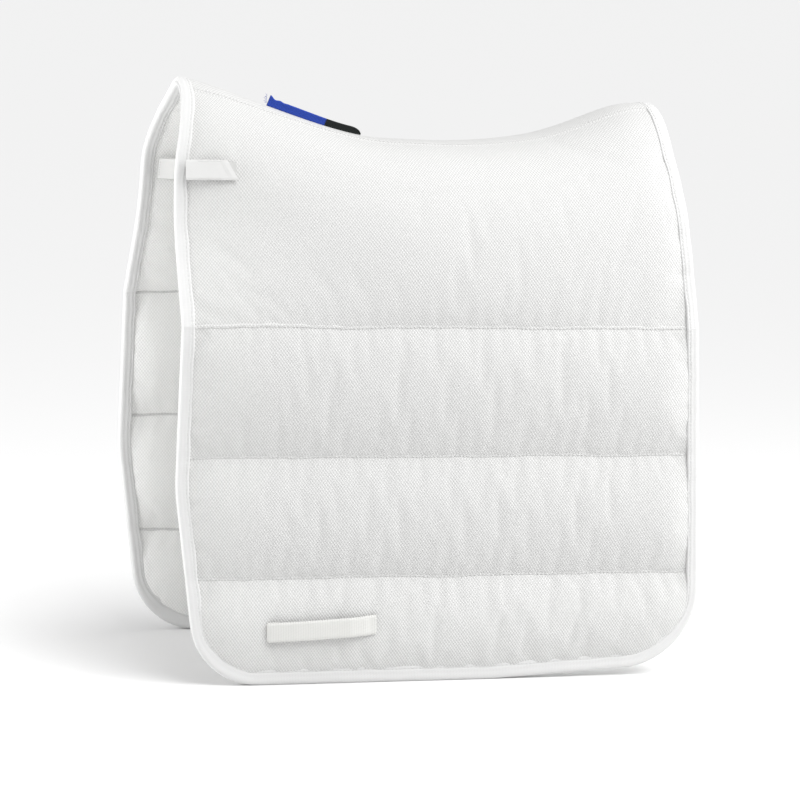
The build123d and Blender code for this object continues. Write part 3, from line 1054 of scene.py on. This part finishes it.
def make_d_straps():
    """The strap that closes round the saddle's ring: root under the binding, free end folded slanting."""
    place = d_strap_frame()
    origin, along, up, out = place
    start, end = D_STRAP_START, D_STRAP_START + D_STRAP_LENGTH
    line = [(start - 7 * MM, -0.6 * MM), (start + 3 * MM, 0.0), (start + 14 * MM, 0.3 * MM)]
    line += [(start + 30 * MM, 0.6 * MM), (end - 6 * MM, 0.4 * MM), (end, 0.1 * MM)]
    for side, sign in SIDES:
        strap = Piece()
        add_strap(strap, place, line, D_STRAP_HEIGHT, D_STRAP_THICK, 1.4 * MM, 0.06 * MM, slant=11 * MM)
        fold = [(end - 9 * MM, 1.0 * MM), (end - 5 * MM, 1.5 * MM), (end - 0.3 * MM, 1.2 * MM)]
        add_strap(strap, place, fold, D_STRAP_HEIGHT - 0.8 * MM, 0.9 * MM, 1.4 * MM, 0.05 * MM, slant=11 * MM)
        for level in (-8.6 * MM, 8.6 * MM):
            run = [origin + along * a + up * level + out * (b + D_STRAP_THICK) for a, b in line[1:4]]
            run = evenly(np.array(run), 1 * MM)
            add_stitches(strap, run, np.zeros_like(run) + out, *RING_STRAP_STITCH)
        strap = strap.finished(f"{side}_ring_strap", "satin_tape", sign, f"{side}_d_ring_strap")
        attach(strap, f"{side}_d_ring_strap")
        for node in (f"{side}_hook_patch", f"{side}_loop_patch"):
            mesh = frame["nodes"][node].data
            mesh.materials.clear()
            mesh.materials.append(MATERIALS["touch_fastener"])


def both_sides(grid, mirror=(1, -1, 1)):
    """Rows from the left edge over the spine to the right edge, from the rows of the right side."""
    return np.concatenate([grid[:0:-1] * np.array(mirror), grid])


def make_spine_strip(points, normals, half):
    """The tape sewn along the spine over the join of the two covers, with a groove inside each edge."""
    reach, rows, sewn = 25 * MM, 15, 11  # half width, rows of points, and the row that the stitches follow
    along = np.linspace(0, 1, rows)
    length = np.cumsum(np.linalg.norm(np.diff(points, axis=0, prepend=points[:1]), axis=2), axis=0)
    place, way, thick = (np.empty((rows, points.shape[1], k)) for k in (3, 3, 1))
    for j in range(points.shape[1]):
        for k in range(3):
            place[:, j, k] = np.interp(along * reach, length[:, j], points[:, j, k])
            way[:, j, k] = np.interp(along * reach, length[:, j], normals[:, j, k])
        thick[:, j, 0] = np.interp(along * reach, length[:, j], half[:, j])
    place[0, :, 1], way[0, :, 1] = 0, 0
    way = unit(way)
    groove = 0.5 * MM * np.exp(-(((along - 0.8) / 0.05) ** 2))
    level = 1.2 * MM - groove - 1.8 * MM * smooth_step(along, 0.82, 1.0)
    top = both_sides(place + way * (thick + level[:, None, None]))
    under = both_sides(place + way * (thick - 1.1 * MM))
    weave = both_sides(woven(place[..., 0], along[:, None] * reach), (1, -1))
    strip = Piece()
    add_shell(strip, top, under, weave)
    for _, sign in SIDES:
        run = (place[sewn] + way[sewn] * (thick[sewn] + level[sewn])) * (1, sign, 1)
        add_stitches(strip, run, way[sewn] * (1, sign, 1), *SPINE_STITCH)
    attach(strip.finished("spine_tape", "spacer_mesh", 1, "spine_strip"), "top_arch")


def spine_height(x):
    """Height of the spine tape's top at x."""
    tape = looked_up(SECTION_Z, np.zeros_like(x), x)
    return tape + SPINE_HALF + 1.2 * MM


TAB_HEIGHT, TAB_FALL = 8.6 * MM, 1.6 * MM  # at the front, and how much lower it is at the rear
TAB_HORN, TAB_HORN_LENGTH = 2.8 * MM, 3.5 * MM  # the torn front corner stands up
TAB_ROUND = 12 * MM  # length of the rounded rear end
TAB_LEAN = -1.6 * MM


def make_tab():
    """The two-coloured cloth tab on the spine: woven tape doubled over, raw at its front corner."""
    blue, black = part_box("wither_tab_blue"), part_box("wither_tab_black")
    front, join, rear = blue[0].x, black[0].x, black[1].x
    for name, node, slot, start, end in (
        ("tab_blue_half", "wither_tab_blue", "blue_tape", front, join),
        ("tab_black_half", "wither_tab_black", "black_tape", join, rear),
    ):
        x = np.arange(start, end + 0.5 * MM, 1 * MM)
        foot = spine_height(x) - 1.0 * MM
        tall = TAB_HEIGHT - TAB_FALL * smooth_step(x, front + 0.02, rear - 0.01)
        slope = np.gradient(foot, x)
        if slot == "blue_tape":
            torn = 1 - smooth_step(x, front + 0.008, front + 0.03)
            tall += TAB_HORN * np.exp(-(((x - front) / TAB_HORN_LENGTH) ** 2))
            tall += 0.5 * MM * ripple(x, 0.011, 1) * torn
        else:
            close = np.clip((rear - x) / TAB_ROUND, 0, 1)
            tall *= np.sqrt(1 - (1 - close) ** 2) * 0.8 + 0.2
        tilt = 1 / np.sqrt(1 + slope**2)
        levels = np.array([0, 0.12, 0.3, 0.5, 0.7, 0.86, 0.95, 1.0])
        thick = 1.0 * MM * np.array([1, 1, 0.95, 0.9, 0.92, 0.95, 0.75, 0.25])
        lean = TAB_LEAN * levels**1.5
        rings = []
        for face, order in ((1, slice(None)), (-1, slice(None, None, -1))):
            away = face * thick[order] + lean[order]
            up = levels[order][None] * tall[:, None]
            wavy = 0.25 * MM * ripple(x, 0.03, 4)[:, None] * levels[order]
            rings.append(np.stack([
                x[:, None] - up * (slope * tilt)[:, None],
                np.broadcast_to(away[None], up.shape) + wavy,
                foot[:, None] + up * tilt[:, None],
            ], axis=-1))
        rings = np.concatenate(rings, axis=1)
        around = np.linspace(0, 18 * MM, rings.shape[1] + 1)
        weave = woven(x[:, None], around[None])
        tab = Piece()
        tab.add_tube(rings, weave)
        if slot == "blue_tape":
            add_loose_threads(tab, x[0], foot[0], tall[0])
        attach(tab.finished(name, slot, 1, node), "wither_tab")


def add_loose_threads(piece, x, foot, tall):
    """Adds the frayed threads at the tab's raw front corner."""
    turn = np.radians(np.arange(5) * 72)
    for k in range(9):
        level = foot + tall * (0.25 + 0.09 * k)
        reach = (2.6 + 1.2 * math.sin(2.3 * k)) * MM
        t = np.linspace(0, 1, 6)
        line = np.stack([
            x - reach * t,
            0.5 * MM * math.sin(3.1 * k) * t - 1.2 * MM * (k / 9) ** 1.5,
            level + 1.6 * MM * math.sin(1.7 * k) * t**2,
        ], axis=1)
        girth = 0.22 * MM * (1 - 0.6 * t)
        circle = np.stack([np.zeros(5), np.cos(turn), np.sin(turn)], axis=1)
        rings = line[:, None] + circle[None, ::-1] * girth[:, None, None]
        weave = woven(line[:, :1], np.arange(6)[None] * 0.2 * MM)
        piece.add_tube(rings, weave)


LABEL_HEIGHT = 22 * MM
LABEL_HALF = 0.25 * MM
LABEL_HEM = 0.2 * MM  # how much thicker its hems are, each way


def make_label():
    """The blank label sewn inside the far front edge: satin, hemmed top and bottom, curling a little."""
    low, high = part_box("care_label")
    length = high.x - low.x
    up = np.array((0, -math.sin(D_STRAP_LEAN), math.cos(D_STRAP_LEAN)))
    out = np.array((0, -math.cos(D_STRAP_LEAN), -math.sin(D_STRAP_LEAN)))
    along, down = np.meshgrid(np.linspace(0.5, -0.5, 21), np.linspace(0.5, -0.5, 25))
    free = smooth_step(along, -0.3, 0.5)
    curl = 0.9 * MM * free + 0.35 * MM * ripple(down * LABEL_HEIGHT, 15 * MM, 3) * free
    half = LABEL_HALF + LABEL_HEM * smooth_step(np.abs(down), 0.38, 0.41)
    middle = np.array((low + high) / 2) + along[..., None] * length * np.array((1.0, 0, 0))
    middle = middle + down[..., None] * LABEL_HEIGHT * up + curl[..., None] * out
    label = Piece()
    weave = np.stack([along * length, down * LABEL_HEIGHT], axis=-1)
    add_shell(label, middle + half[..., None] * out, middle - half[..., None] * out, weave)
    run = middle[2:-2, -3] + out * LABEL_HALF
    add_stitches(label, run, np.zeros_like(run) + out, *LABEL_STITCH)
    # the label's material uses the linings' raised white: painted light inside the pad
    label = label.finished("care_label_satin", "satin_tape", 1, "care_label", material="label_satin")
    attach(label, "top_arch")


# ---- camera, light and floor

def make_camera():
    """Looks at the pad's left side from a little ahead of it and above."""
    data = bpy.data.cameras.new("camera")
    data.lens = 162.4
    data.sensor_width = 36
    camera = placed("camera", data)
    camera.location = (-1.1583, -3.4786, 0.3528)
    camera.rotation_euler = [math.radians(a) for a in (80.533, -2.917, -17.770)]
    bpy.context.scene.camera = camera


def add_light(name, kind, place, target, strength, **shape):
    """A soft light aimed from one point at another."""
    data = bpy.data.lights.new(name, kind)
    data.energy = strength
    for trait, value in shape.items():
        setattr(data, trait, value)
    light = placed(name, data)
    light.location = place
    light.rotation_mode = "QUATERNION"
    light.rotation_quaternion = (Vector(place) - Vector(target)).to_track_quat("Z", "Y")


def make_light():
    """An even white room, soft light from above, more from the rear, and some in under the front arch."""
    world = bpy.data.worlds.new("studio")
    world.use_nodes = True
    set_values(world.node_tree.nodes["Background"], {"Color": (1, 1, 1, 1), "Strength": 0.45})
    bpy.context.scene.world = world
    add_light("ceiling_light", "SUN", (0.35, -0.32, 1.0), (0, 0, 0), 2.6, angle=math.radians(50))
    add_light("rear_light", "AREA", (1.0, -0.85, 0.5), (0.2, -0.1, -0.1), 8.5, size=0.7)
    add_light("arch_light", "AREA", (1.5, -0.16, 0.0), (-0.2, 0.11, -0.2), 6, size=0.6)
    add_light("front_light", "AREA", (-1.1, -0.05, -0.05), (-0.25, 0.1, -0.25), 7, size=0.5)
    bpy.context.scene.view_settings.view_transform = "Standard"


def make_floor():
    """A plain pale floor at the height of the pad's lowest edge."""
    size = 30.0
    mesh = bpy.data.meshes.new("floor")
    corners = [(-size, -size, BOTTOM), (size, -size, BOTTOM), (size, size, BOTTOM), (-size, size, BOTTOM)]
    mesh.from_pydata(corners, [], [(0, 1, 2, 3)])
    material = bpy.data.materials.new("floor")
    material.use_nodes = True
    shader = material.node_tree.nodes["Principled BSDF"]
    set_values(shader, {"Base Color": (0.75, 0.75, 0.75, 1), "Roughness": 0.9, "Specular IOR Level": 0.1})
    mesh.materials.append(material)
    placed("floor", mesh)


make_channels()
spine = make_top_panel()
make_seam_gutters()
make_bindings()
make_spine_strip(*spine)
make_girth_straps()
make_d_straps()
make_tab()
make_label()
make_camera()
make_light()
make_floor()
